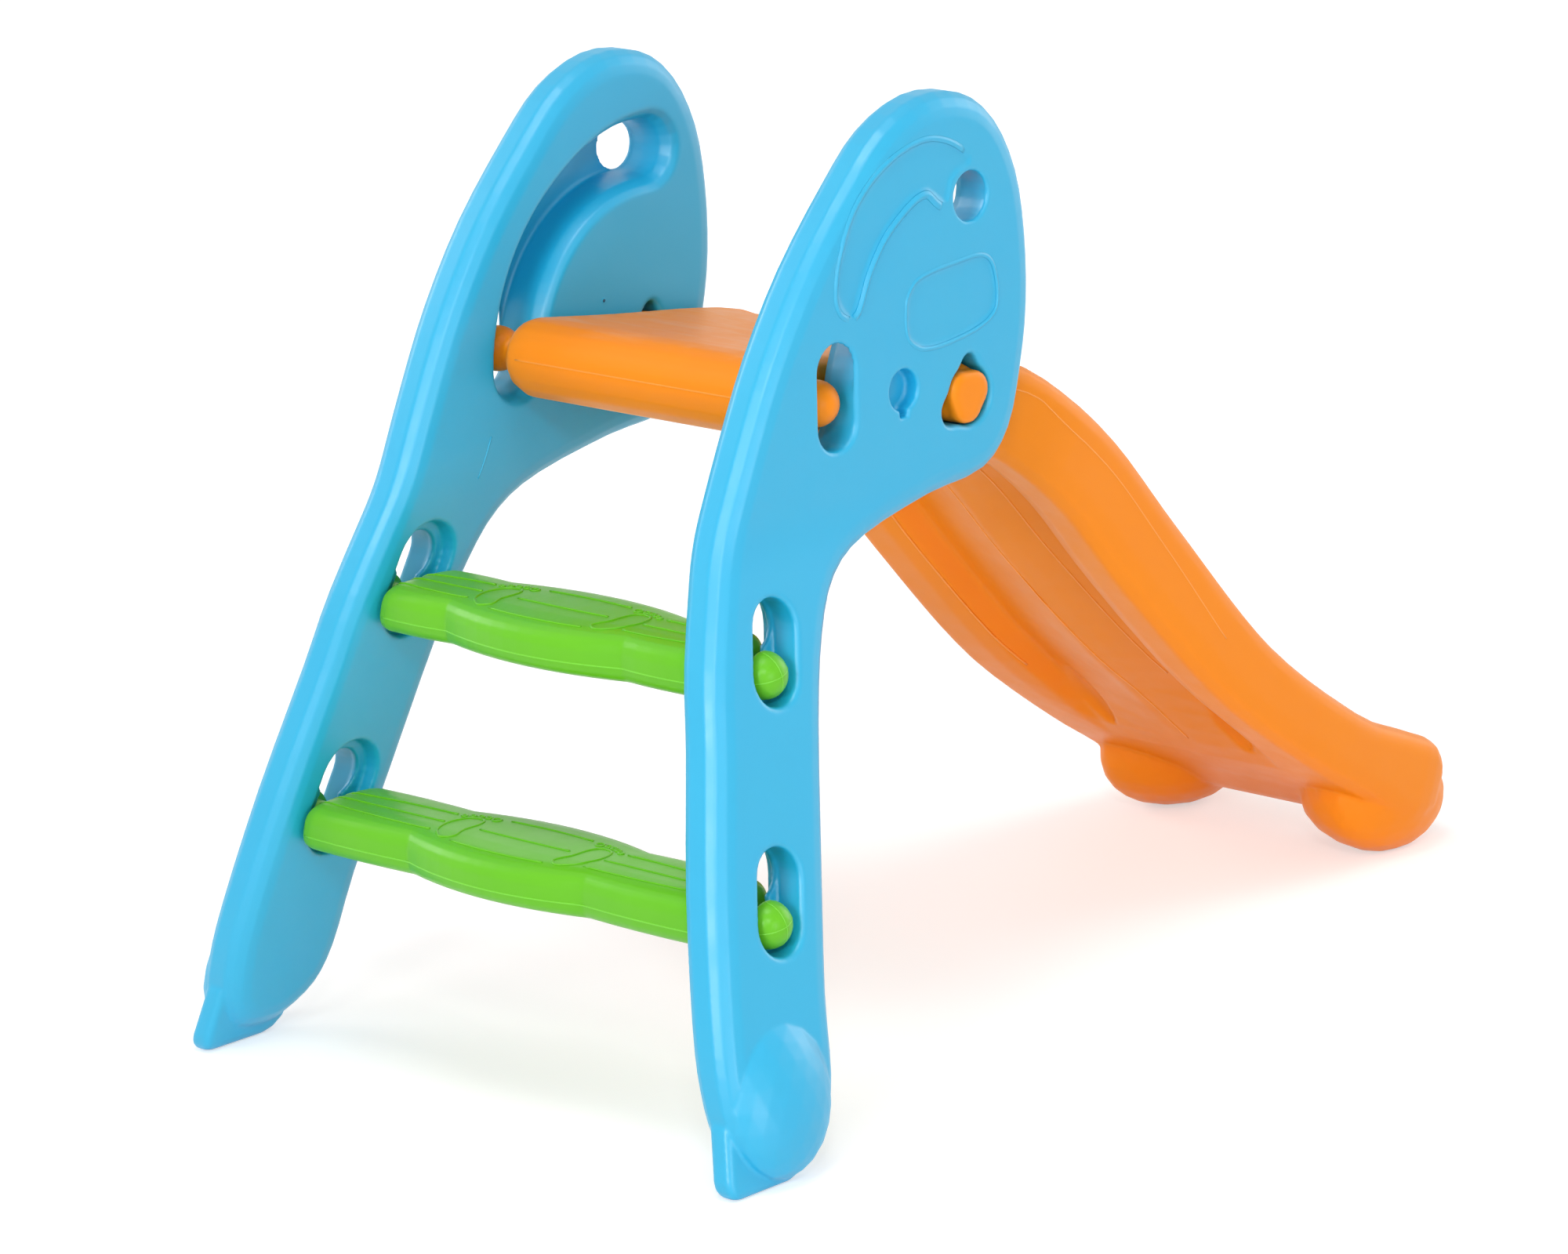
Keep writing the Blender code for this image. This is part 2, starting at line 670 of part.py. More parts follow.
def chute(name, mat):
    line = rim_line()
    rings = []

    def ring(origin, normal, section):
        out = []
        full = section + [(-y, n) for y, n in section[-2:0:-1]]
        for y, n in full:
            p = origin + normal * n
            out.append(Vector((p.x, y, p.y)))
        return out

    def blend(value, low, high):
        t = min(1.0, max(0.0, (value - low) / (high - low)))
        return t * t * (3 - 2 * t)

    r = DECK_T / 2
    first = (line[1] - line[0]).normalized()
    up = Vector((-first.y, first.x))
    nose = line[0] - up * r
    for a in (10, 28, 48, 69):
        s, c = math.sin(math.radians(a)), math.cos(math.radians(a))
        w = CHUTE_HALF_W - 0.010 * (1 - s)
        section = [(y, n * s * DECK_T / RAIL_H) for y, n in chute_section(0, 0, RAIL_H, w)]
        rings.append(ring(nose - first * r * c + up * r * s, up, section))
    for i, p in enumerate(line):
        a = line[max(i - 1, 0)]
        b = line[min(i + 1, len(line) - 1)]
        along = (b - a).normalized()
        normal = Vector((-along.y, along.x))
        share = (p.x - HINGE_X) / CHUTE_RUN
        trough = blend(share, 0.076, 0.253) * (1 - 0.55 * blend(share, 0.732, 1.019))
        under = blend(share, 0.084, 0.177) * (1 - blend(share, 0.682, 0.867))
        thick = DECK_T + (RAIL_H - DECK_T) * blend(share, 0.034, 0.185)
        thick += (RUNOUT_H - RAIL_H) * blend(share, 0.43, 0.80)
        thick += (2 * END_ROLL_R - RUNOUT_H) * blend(share, 0.867, 1.002)
        half_w = CHUTE_HALF_W + (SLOPE_HALF_W - CHUTE_HALF_W) * blend(share, 0.152, 0.320)
        half_w += (END_HALF_W - SLOPE_HALF_W) * blend(share, 0.395, 0.901)
        rings.append(ring(p, normal, chute_section(trough, under, thick, half_w)))
    last = (line[-1] - line[-2]).normalized()
    up = Vector((-last.y, last.x))
    centre = line[-1] - up * END_ROLL_R
    section_end = chute_section(0.45, 0, 2 * END_ROLL_R, END_HALF_W)
    for a in (69, 48, 28, 10):
        s, c = math.sin(math.radians(a)), math.cos(math.radians(a))
        section = []
        for y, n in section_end:
            shrink = 0.014 * (1 - s) * min(1.0, y / 0.10)
            section.append((y - shrink, (n + END_ROLL_R) * s - END_ROLL_R))
        rings.append(ring(centre + last * END_ROLL_R * c + up * END_ROLL_R, up, section))
    obj = add_object(name, loft(rings), mat)

    # Rounded feet under the end of the chute, flat where they stand
    for side in (-1, 1):
        bm = bmesh.new()
        bmesh.ops.create_icosphere(bm, subdivisions=3, radius=1.0)
        for v in bm.verts:
            x, y, z = v.co
            reach = CHUTE_FOOT_OUT if y > 0 else CHUTE_FOOT_IN
            v.co = (CHUTE_FOOT_X + x * CHUTE_FOOT_L - z * 0.010,
                    side * (CHUTE_FOOT_Y + y * reach),
                    CHUTE_FOOT_H - 0.002 + z * CHUTE_FOOT_H)
            v.co.z = max(v.co.z, 0.0)
        combine(obj, add_object("foot", bm), "UNION")

    # Leaf-shaped pockets of the underside
    form = bmesh.new()
    form.from_mesh(obj.data)
    skin = BVHTree.FromBMesh(form)
    form.free()
    for side in (-1, 1):
        ends = []
        for share in (0.655, 0.790):
            start = Vector((HINGE_X + share * CHUTE_RUN, side * LEAF_Y, 0.0))
            ends.append(skin.ray_cast(start, Vector((0, 0, 1)))[0])
        middle = (ends[0] + ends[1]) / 2
        along = (ends[1] - ends[0]).normalized()
        sideways = Vector((0, 1, 0)) - along * along.y
        sideways.normalize()
        up = along.cross(sideways)
        bm = bmesh.new()
        bmesh.ops.create_icosphere(bm, subdivisions=2, radius=1.0)
        for v in bm.verts:
            x, y, z = v.co
            wide = LEAF_W / 2 * (1 - 0.6 * x * x)
            v.co = (middle + along * x * LEAF_L / 2 + sideways * y * wide
                    + up * z * LEAF_DEPTH)
        combine(obj, add_object("leaf", bm), "DIFFERENCE")

    # Front bosses, on which the chute turns: round inside, three-cornered at the end
    for side in (-1, 1):
        face = INNER_HALF_GAP + PANEL_T + BOSS_PROUD
        neck = INNER_HALF_GAP + PANEL_T * BOSS_ROUND
        shaft = circle(HINGE, BOSS_R, 36, math.radians(-38))
        rings = []
        for outline, y in ((shaft, CHUTE_HALF_W - 0.010), (shaft, neck),
                           (boss_outline(), neck + 0.0020), (boss_outline(), face - 0.005),
                           (boss_outline(0.94), face - 0.0015), (boss_outline(0.82), face)):
            rings.append([Vector((p.x, side * y, p.y)) for p in outline])
        combine(obj, add_object("boss", loft(rings)), "UNION")

    # Rear pegs with ball ends
    peg = polar(GUIDE_R, REST_ANGLE)
    floor = CRESCENT_DEPTH + GUIDE_WEB + WEB_CLEAR
    ball_y = INNER_HALF_GAP + PANEL_T - floor - PEG_R
    for side in (-1, 1):
        rings = []
        back = math.sqrt(PEG_R ** 2 - PEG_NECK_R ** 2)
        for y, radius in ((CHUTE_HALF_W - 0.010, PEG_NECK_R + 0.0060),
                          (CHUTE_HALF_W + 0.0004, PEG_NECK_R + 0.0050),
                          (CHUTE_HALF_W + 0.0045, PEG_NECK_R + 0.0015)):
            rings.append((y, radius))
        rings.append((max(ball_y - back, CHUTE_HALF_W + 0.0065), PEG_NECK_R))
        first_a = math.degrees(math.acos(-back / PEG_R))
        for k in range(1, 9):
            a = math.radians(first_a * (1 - k / 8) + 12 * k / 8)
            rings.append((ball_y + PEG_R * math.cos(a), PEG_R * math.sin(a)))
        rings.append((ball_y + PEG_R, 0.0012))
        body = []
        for y, radius in rings:
            body.append([Vector((p.x, side * y, p.y)) for p in circle(peg, radius, 28)])
        combine(obj, add_object("peg", loft(body)), "UNION")

    tidy(obj)
    return obj


def main():
    for obj in list(bpy.data.objects):
        bpy.data.objects.remove(obj)
    blue = material("blue_plastic", BLUE)
    green = material("green_plastic", GREEN)
    orange = material("orange_plastic", ORANGE)
    left = panel("side_panel_left", blue)
    parts = [
        left,
        mirrored(left, "side_panel_right"),
        step("step_lower", 0, green),
        step("step_upper", 1, green),
        chute("chute", orange),
    ]
    # The world origin is on the floor, half way along the slide
    ends = [v.co.x for obj in parts for v in obj.data.vertices]
    middle = (min(ends) + max(ends)) / 2
    # The panels and the steps turn together about the hinge, so their origins are on it
    for obj in parts:
        for v in obj.data.vertices:
            v.co -= Vector((HINGE_X, 0, HINGE_Z))
        obj.location = (HINGE_X - middle, 0, HINGE_Z)
        obj.data.shade_smooth()
        obj.data.set_sharp_from_angle(angle=math.radians(38))


main()
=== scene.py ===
"""Finish and studio for the folding play slide.

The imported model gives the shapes. This script softens their edges as a blow mould
leaves them, adds the relief of the treads and the seams of the moulds, gives each
moulding its plastic, and sets up a pale studio.
"""
import json
import math

import bmesh
import bpy
from bpy.props import FloatProperty, PointerProperty, StringProperty
from bpy.types import Operator, Panel, PropertyGroup
from mathutils import Matrix, Vector
from mathutils.bvhtree import BVHTree


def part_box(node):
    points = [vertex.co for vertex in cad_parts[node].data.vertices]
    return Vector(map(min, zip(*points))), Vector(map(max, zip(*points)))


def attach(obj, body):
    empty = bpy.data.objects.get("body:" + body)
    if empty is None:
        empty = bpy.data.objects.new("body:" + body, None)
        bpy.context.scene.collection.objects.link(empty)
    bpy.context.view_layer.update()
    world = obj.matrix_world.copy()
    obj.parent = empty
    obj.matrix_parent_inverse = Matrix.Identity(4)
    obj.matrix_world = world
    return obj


bl_info = {
    "name": "Folding play slide",
    "version": (1, 0, 0),
    "blender": (4, 5, 0),
    "location": "3D View > Sidebar > Play slide",
    "description": "Finishes the mouldings of a folding play slide and lights them",
    "category": "Object",
}

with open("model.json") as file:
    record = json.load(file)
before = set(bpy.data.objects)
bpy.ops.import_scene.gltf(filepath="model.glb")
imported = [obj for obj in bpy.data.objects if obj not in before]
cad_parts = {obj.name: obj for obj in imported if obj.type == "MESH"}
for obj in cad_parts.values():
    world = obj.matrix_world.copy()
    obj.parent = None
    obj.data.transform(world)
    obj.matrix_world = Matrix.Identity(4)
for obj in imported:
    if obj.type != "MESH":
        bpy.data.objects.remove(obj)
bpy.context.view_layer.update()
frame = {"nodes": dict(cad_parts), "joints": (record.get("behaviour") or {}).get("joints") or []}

MM = 0.001
NODES = frame["nodes"]
PANELS = ("side_panel_left", "side_panel_right")
STEPS = ("step_lower", "step_upper")
CHUTE = "chute"
LADDER = "ladder"
SLIDE = "slide"
HINGE = Vector(next(j["pos_m"] for j in frame["joints"] if j["name"] == "ladder_fold"))

# From the hinge axis to the middle of the guide that the rear pegs run in
GUIDE_R = 0.1435

# Voxels of the softened skins; coarser ones would open the thin web behind the guide
PANEL_VOXEL = 1.4 * MM
TREAD_VOXEL = 1.3 * MM
CHUTE_VOXEL = 2.3 * MM
SOFT_ROUNDS = 4

# The second shade of each pigment, and the seams' paler flash, partly painted highlight
BLUE_SHADE = "#15ADDD"
GREEN_SHADE = "#64BC22"
ORANGE_SHADE = "#F6890F"
# The flash colours are paler partly to paint the highlight that thin, sharp seams catch
GREEN_FLASH_AND_HIGHLIGHT = ("#7FDA38", "#77D233")
ORANGE_FLASH_AND_HIGHLIGHT = ("#FF9F36", "#FB972D")
# Painted shade: a darker copy of the blue that stands for the shade in the blow pin's hole
PIN_HOLE_PAINTED_SHADE = ("#17597A", "#144E6B")
FLOW_MARK = "#F2C3A0"

# Blow pin's mark and mould line on the inner face of the left panel, in x and z
PIN_MARK = (-0.1843, 0.5230)
MOULD_LINE = ((-0.3063, 0.443), (-0.3193, 0.414))
PIN_MARK_R = 1.7 * MM

# A tread's neck and ball beyond its board, the ball alone, and how far the parting
# line lies under the middle and ends before the board does
TREAD_END = 45.4 * MM
BALL_R = 17.5 * MM
SEAM_DROP = 5 * MM
SEAM_INSET = 6 * MM

# The parting line of the chute: over the hinge on the nose, under the rim on the walls
# from just past the hinge to a share of their length, and under the top of the end roll
RIM_Y = 0.110
NOSE_LINE_UP = 18.5 * MM
WALL_LINE_FROM = 30 * MM
WALL_LINE_SHARE = 0.55
END_ROLL = 40 * MM
END_LINE_DOWN = 36 * MM

# Lines under the chute: y where each starts and ends, and the share that it reaches
UNDER_LINES_FROM = 0.20
UNDER_LINES = ((-0.034, -0.054, 0.62), (0.012, -0.012, 0.75), (0.084, 0.088, 0.62))

# Rays that look for a skin start this far out, clear of it
CLEAR = 0.3

# Each lamp's name, place, aim, diameter in metres and power in watts
LAMPS = (
    ("left", (-4.4, -1.2, 1.7), (0, 0, 0.35), 1.2, 64),
    ("key", (-3.1, -2.7, 2.6), (0, 0, 0.35), 0.55, 30),
    ("right", (-1.3, -4.5, 0.85), (0, 0, 0.30), 2.0, 36),
    ("top", (-1.1, -0.6, 4.2), (0, 0, 0.30), 1.6, 42),
    ("front", (3.9, -1.2, 1.6), (0.2, 0, 0.20), 3.0, 48),
    ("back", (-1.2, 4.2, 2.2), (0, 0, 0.30), 2.4, 56),
)
ROOM_LEVEL = 0.40

# The floor as light meets it, and as the camera and mirrors see it: paper plus a glow
# that is weaker near the object, from one distance to another in metres
FLOOR_HALF = 9.0
FLOOR_DROP = 0.2 * MM
PAPER = (0.92, 0.92, 0.92, 1)
SEEN_PAPER = (0.66, 0.66, 0.66, 1)
GLOW_NEAR = 0.52
GLOW_FAR = 0.73
GLOW_FROM = 0.8
GLOW_TO = 3.0
WHITE = (1, 1, 1, 1)

# Photograph's camera: angles in degrees, lens and sensor in millimetres, place in metres
CAMERA_TURN = -47.79
CAMERA_LIFT = 14.65
CAMERA_ROLL = -1.31
CAMERA_LENS = 147.8
CAMERA_SENSOR = 36.0
CAMERA_REACH = 60.0
CAMERA_PLACE = (-3.5392, -3.0796, 1.4859)


# Colours and materials

def linear(hex_colour):
    """An sRGB hex value as linear red, green, blue and alpha."""
    values = []
    for i in (1, 3, 5):
        c = int(hex_colour[i:i + 2], 16) / 255
        values.append(c / 12.92 if c <= 0.04045 else ((c + 0.055) / 1.055) ** 2.4)
    return (*values, 1.0)


def add(tree, kind, links=(), **values):
    """Adds a node. Values named in_X fill its input X, the others set the node itself.

    Links are pairs of an input of the node and the socket that feeds it.
    """
    node = tree.nodes.new(kind)
    for key, value in values.items():
        if key.startswith("in_"):
            name = key[3:]
            socket = node.inputs[int(name)] if name.isdigit() else node.inputs[name]
            socket.default_value = value
        else:
            setattr(node, key, value)
    for target, source in links:
        tree.links.new(source, node.inputs[target])
    return node


def moulded_polyethylene(name, colour, shade, roughness, level=0.5, streaks=False):
    """Blow moulded polyethylene: satin, with the fine grain of an etched mould.

    The pigment is mixed in the melt, so its colour drifts very slightly across a
    piece, and the gloss is uneven where the mould was cooler. Level is the strength
    of the mirror light, and streaks adds the flow marks of the platform.
    """
    mat = bpy.data.materials.new(name)
    mat.use_nodes = True
    tree = mat.node_tree
    tree.nodes.clear()
    out = add(tree, "ShaderNodeOutputMaterial")
    shader = add(tree, "ShaderNodeBsdfPrincipled", in_IOR=1.51)
    shader.inputs["Metallic"].default_value = 0.0
    shader.inputs["Specular IOR Level"].default_value = level
    shader.inputs["Subsurface Weight"].default_value = 0.05
    shader.inputs["Subsurface Radius"].default_value = (1.0, 1.0, 1.0)
    shader.inputs["Subsurface Scale"].default_value = 2 * MM
    tree.links.new(shader.outputs[0], out.inputs[0])
    place = add(tree, "ShaderNodeTexCoord").outputs["Object"]

    # Drift of the pigment over about 90 mm
    drift = add(tree, "ShaderNodeTexNoise", [(0, place)], in_Scale=1 / (90 * MM),
                in_Detail=3.0, in_Roughness=0.5)
    mixed = add(tree, "ShaderNodeMix", [(0, drift.outputs["Fac"])], data_type="RGBA",
                in_6=linear(shade), in_7=linear(colour))
    colour_out = mixed.outputs[2]

    # Uneven gloss over about 25 mm
    cloud = add(tree, "ShaderNodeTexNoise", [(0, place)], in_Scale=1 / (25 * MM),
                in_Detail=4.0, in_Roughness=0.6)
    gloss = add(tree, "ShaderNodeMapRange", [(0, cloud.outputs["Fac"])], in_1=0.3,
                in_2=0.7, in_3=roughness - 0.04, in_4=roughness + 0.05)

    if streaks:
        # Flow marks where the melt was drawn out over the platform, about 7 mm apart
        turned = add(tree, "ShaderNodeMapping", [(0, place)],
                     in_Rotation=(0, 0, math.radians(24)), in_Scale=(1.0, 0.16, 1.0))
        flow = add(tree, "ShaderNodeTexNoise", [(0, turned.outputs[0])],
                   in_Scale=1 / (14 * MM), in_Detail=5.0, in_Roughness=0.55,
                   in_Distortion=0.9)
        face = add(tree, "ShaderNodeNewGeometry")
        parts = add(tree, "ShaderNodeSeparateXYZ", [(0, face.outputs["Normal"])])
        flat = add(tree, "ShaderNodeMapRange", [(0, parts.outputs["Z"])], in_1=0.86,
                   in_2=0.99)
        line = add(tree, "ShaderNodeMapRange", [(0, flow.outputs["Fac"])], in_1=0.52,
                   in_2=0.66)
        mark = add(tree, "ShaderNodeMath", [(0, flat.outputs[0]), (1, line.outputs[0])],
                   operation="MULTIPLY")
        pale = add(tree, "ShaderNodeMath", [(0, mark.outputs[0])], operation="MULTIPLY",
                   in_1=0.2)
        worn = add(tree, "ShaderNodeMix", [(0, pale.outputs[0]), (6, colour_out)],
                   data_type="RGBA", in_7=linear(FLOW_MARK))
        colour_out = worn.outputs[2]
    tree.links.new(colour_out, shader.inputs["Base Color"])
    tree.links.new(gloss.outputs[0], shader.inputs["Roughness"])

    # Etched grain, really about 0.5 mm, drawn at 0.9 mm so that it shows
    fine = add(tree, "ShaderNodeTexNoise", [(0, place)], in_Scale=1 / (0.9 * MM),
               in_Detail=2.0)
    wave = add(tree, "ShaderNodeTexNoise", [(0, place)], in_Scale=1 / (38 * MM),
               in_Detail=1.0)
    low = add(tree, "ShaderNodeBump", [(2, wave.outputs["Fac"])], in_Strength=0.10,
              in_Distance=1.5 * MM)
    bump = add(tree, "ShaderNodeBump", [(2, fine.outputs["Fac"]), (3, low.outputs[0])],
               in_Strength=0.14, in_Distance=0.08 * MM)
    tree.links.new(bump.outputs[0], shader.inputs["Normal"])
    return mat


# Shapes

def soften(obj, voxel):
    """Rounds the edges as a blow mould leaves them, and keeps the size."""
    remesh = obj.modifiers.new("even skin", "REMESH")
    remesh.mode = "VOXEL"
    remesh.voxel_size = voxel
    remesh.adaptivity = 0.0
    remesh.use_smooth_shade = True
    relax = obj.modifiers.new("soft edges", "SMOOTH")
    relax.factor = 0.5
    relax.iterations = SOFT_ROUNDS


def skin(node):
    """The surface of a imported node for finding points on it."""
    mesh = NODES[node].data
    return BVHTree.FromPolygons([v.co.copy() for v in mesh.vertices],
                                [tuple(p.vertices) for p in mesh.polygons])


def on_skin(tree, start, direction):
    """The first point of a skin along a ray, and its normal."""
    hit, normal, _, _ = tree.ray_cast(Vector(start), Vector(direction))
    if hit is None:
        raise RuntimeError("a line of the finish misses its moulding")
    return hit, normal


def lie(tree, rays):
    """Where rays meet a skin, and the normals there."""
    hits = [on_skin(tree, start, direction) for start, direction in rays]
    return [hit for hit, _ in hits], [normal for _, normal in hits]


def circle(radius, count):
    """The points of a circle about nothing, as pairs."""
    turns = (2 * math.pi * i / count for i in range(count))
    return [(radius * math.cos(a), radius * math.sin(a)) for a in turns]


def spline(a, b, c, d, t):
    """A point between b and c on a smooth curve through all four."""
    return 0.5 * (2 * b + (c - a) * t + (2 * a - 5 * b + 4 * c - d) * t * t
                  + (3 * b - a - 3 * c + d) * t ** 3)


def smooth_run(points, steps):
    """Points on a smooth open curve through the given ones."""
    pts = [2 * points[0] - points[1]] + points + [2 * points[-1] - points[-2]]
    return [spline(*four, s / steps) for four in zip(pts, pts[1:], pts[2:], pts[3:])
            for s in range(steps)]


def smooth_loop(points, steps):
    """Points on a smooth closed curve through the given ones."""
    count = len(points)
    fours = [[Vector(points[(i + k - 1) % count]) for k in range(4)] for i in range(count)]
    return [spline(*four, s / steps) for four in fours for s in range(steps)]


def bead(bm, points, normals, width, height, closed=False, soft=False):
    """A low ridge along points that lie on a surface: round, or soft like a swelling.

    A soft one fades out at its ends and reaches a hair under the surface.
    """
    count = len(points)
    # Degrees from the top of a round ridge
    arc = (-100, -55, -18, 18, 55, 100)
    steps = range(9) if soft else range(len(arc))
    rows = []
    for i, (p, n) in enumerate(zip(points, normals)):
        before = points[i - 1] if (i or closed) else p
        after = points[(i + 1) % count] if (i < count - 1 or closed) else p
        along = (after - before).normalized()
        side = along.cross(n).normalized()
        end = min(1.0, i / 3, (count - 1 - i) / 3) if soft and not closed else 1.0
        row = []
        for k in steps:
            if soft:
                s = k / 4 - 1
                lift = (0.5 + 0.5 * math.cos(math.pi * s)) * height * end - 0.02 * MM
            else:
                a = math.radians(arc[k])
                s, lift = math.sin(a), math.cos(a) * height
            row.append(bm.verts.new(p + side * (s * width / 2) + n * lift))
        rows.append(row)
    pairs = list(zip(rows, rows[1:]))
    if closed:
        pairs.append((rows[-1], rows[0]))
    for one, two in pairs:
        for k in steps:
            m = (k + 1) % len(one)
            bm.faces.new((one[k], one[m], two[m], two[k]))
    if not closed:
        bm.faces.new(rows[0][::-1])
        bm.faces.new(rows[-1])


def new_piece(name, bm, mat, body):
    """Makes a piece of a bmesh and lets it ride on a body."""
    bmesh.ops.recalc_face_normals(bm, faces=bm.faces)
    for f in bm.faces:
        f.smooth = True
    mesh = bpy.data.meshes.new(name)
    bm.to_mesh(mesh)
    bm.free()
    mesh.materials.append(mat)
    obj = bpy.data.objects.new(name, mesh)
    bpy.context.scene.collection.objects.link(obj)
    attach(obj, body)


def dress(node, mat):
    """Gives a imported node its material."""
    obj = NODES[node]
    obj.data.materials.clear()
    obj.data.materials.append(mat)


def settings():
    """The sizes and colours of the sidebar."""
    return bpy.context.scene.play_slide


# Sizes and colours that a user may change

class PlaySlideSettings(PropertyGroup):
    panel_colour: StringProperty(
        name="Panels", description="sRGB hex colour of the side panels", default="#1AAFD8")
    step_colour: StringProperty(
        name="Treads", description="sRGB hex colour of the treads", default="#6CC31C")
    chute_colour: StringProperty(
        name="Chute", description="sRGB hex colour of the chute", default="#FB9008")
    rib_width: FloatProperty(
        name="Rib width", description="Width of the lines on the treads",
        default=2.1 * MM, min=0.5 * MM, max=5 * MM, unit="LENGTH")
    rib_height: FloatProperty(
        name="Rib height", description="Height of the lines on the treads",
        default=0.9 * MM, min=0.1 * MM, max=3 * MM, unit="LENGTH")
    backdrop_white: FloatProperty(
        name="Backdrop", description="Brightness of the backdrop as the camera sees it",
        default=1.0, min=0.2, max=1.0, subtype="FACTOR")


class PLAYSLIDE_OT_panels(Operator):
    """Gives the side panels their soft edges, their plastic and their mould marks"""
    bl_idname = "play_slide.panels"
    bl_label = "Side panels"

    def execute(self, context):
        mat = moulded_polyethylene("moulded_polyethylene_blue", settings().panel_colour,
                                   BLUE_SHADE, roughness=0.40, level=0.8)
        for node in PANELS:
            dress(node, mat)
            soften(NODES[node], PANEL_VOXEL)
            self.lips(node, mat)
        self.marks(mat)
        return {"FINISHED"}

    def lips(self, node, mat):
        """The soft swollen lips along the shallow recesses of the outer face.

        The points are shares of the guide's radius, from the hinge axis: the inner and
        the outer edge of the crescent, and the field between it and the hinge.
        """
        inner = [(-0.182, 1.009), (-0.215, 1.028), (-0.289, 1.084),
                 (-0.378, 1.079), (-0.496, 1.020), (-0.645, 0.908), (-0.764, 0.754),
                 (-0.841, 0.592), (-0.886, 0.551)]
        outer = [(-0.886, 0.551), (-0.945, 0.590), (-0.968, 0.672), (-0.935, 0.840),
                 (-0.843, 1.017), (-0.695, 1.167), (-0.518, 1.266), (-0.313, 1.311),
                 (-0.137, 1.275), (0.024, 1.183)]
        field = [(-0.457, 0.526), (-0.453, 0.390), (-0.391, 0.328), (-0.308, 0.305),
                 (-0.160, 0.309), (0.048, 0.341), (0.170, 0.390), (0.203, 0.455),
                 (0.190, 0.575), (0.150, 0.652), (0.071, 0.680), (-0.064, 0.673),
                 (-0.242, 0.658), (-0.377, 0.631), (-0.433, 0.583)]
        bm = bmesh.new()
        self.lip(bm, node, smooth_run([Vector(p) for p in inner], 6),
                 out=4.4, width=6.5, height=1.7)
        self.lip(bm, node, smooth_run([Vector(p) for p in outer], 6),
                 out=3.0, width=4.8, height=1.0)
        self.lip(bm, node, smooth_loop(field[::-1], 4),
                 out=2.4, width=3.6, height=0.75, closed=True)
        new_piece(node + "_lips", bm, mat, LADDER)

    def lip(self, bm, node, shares, out, width, height, closed=False):
        """One lip beside a line on the outer face: how far out, how wide and how high.

        The sizes are in millimetres.
        """
        facing = 1 if node == PANELS[0] else -1
        line = [Vector((HINGE.x + GUIDE_R * p.x, HINGE.z + GUIDE_R * p.y)) for p in shares]
        ends = zip(line, line[1:] + line[:1]) if closed else zip(line, line[1:])
        rays = []
        for one, two in ends:
            along = (two - one).normalized()
            place = one + Vector((-along.y, along.x)) * out * MM
            rays.append(((place.x, facing * CLEAR, place.y), (0, -facing, 0)))
        points, normals = lie(skin(node), rays)
        bead(bm, points, normals, width * MM, height * MM, closed, soft=True)

    def marks(self, mat):
        """A blow pin's dot in painted shade and a short mould line, on one panel's inner face.
        """
        tree = skin(PANELS[0])
        bm = bmesh.new()
        (x0, z0), (x1, z1) = MOULD_LINE
        shares = [i / 8 for i in range(9)]
        points, normals = lie(tree, [((x0 + (x1 - x0) * t, 0, z0 + (z1 - z0) * t), (0, 1, 0))
                                     for t in shares])
        bead(bm, points, normals, 1.2 * MM, 0.5 * MM)
        dot, normal = on_skin(tree, (PIN_MARK[0], 0, PIN_MARK[1]), (0, 1, 0))
        ring = [dot + Vector((x, 0, z)) for x, z in circle(PIN_MARK_R, 20)]
        bead(bm, ring, [normal] * len(ring), 0.9 * MM, 0.35 * MM, closed=True)
        new_piece("panel_mould_marks", bm, mat, LADDER)

        # The dot: a shallow dimple in a darker blue, painted shade of the pin hole
        bm = bmesh.new()
        centre = bm.verts.new(dot + normal * 0.05 * MM)
        under = bm.verts.new(dot - normal * 0.3 * MM)
        rim = [bm.verts.new(p + normal * 0.2 * MM) for p in ring]
        for one, two in zip(rim, rim[1:] + rim[:1]):
            bm.faces.new((one, two, centre))
            bm.faces.new((two, one, under))
        painted_shade = moulded_polyethylene("moulded_polyethylene_blue_shaded", *PIN_HOLE_PAINTED_SHADE,
                                    roughness=0.5)
        new_piece("panel_blow_pin_hole_painted_shade", bm, painted_shade, LADDER)


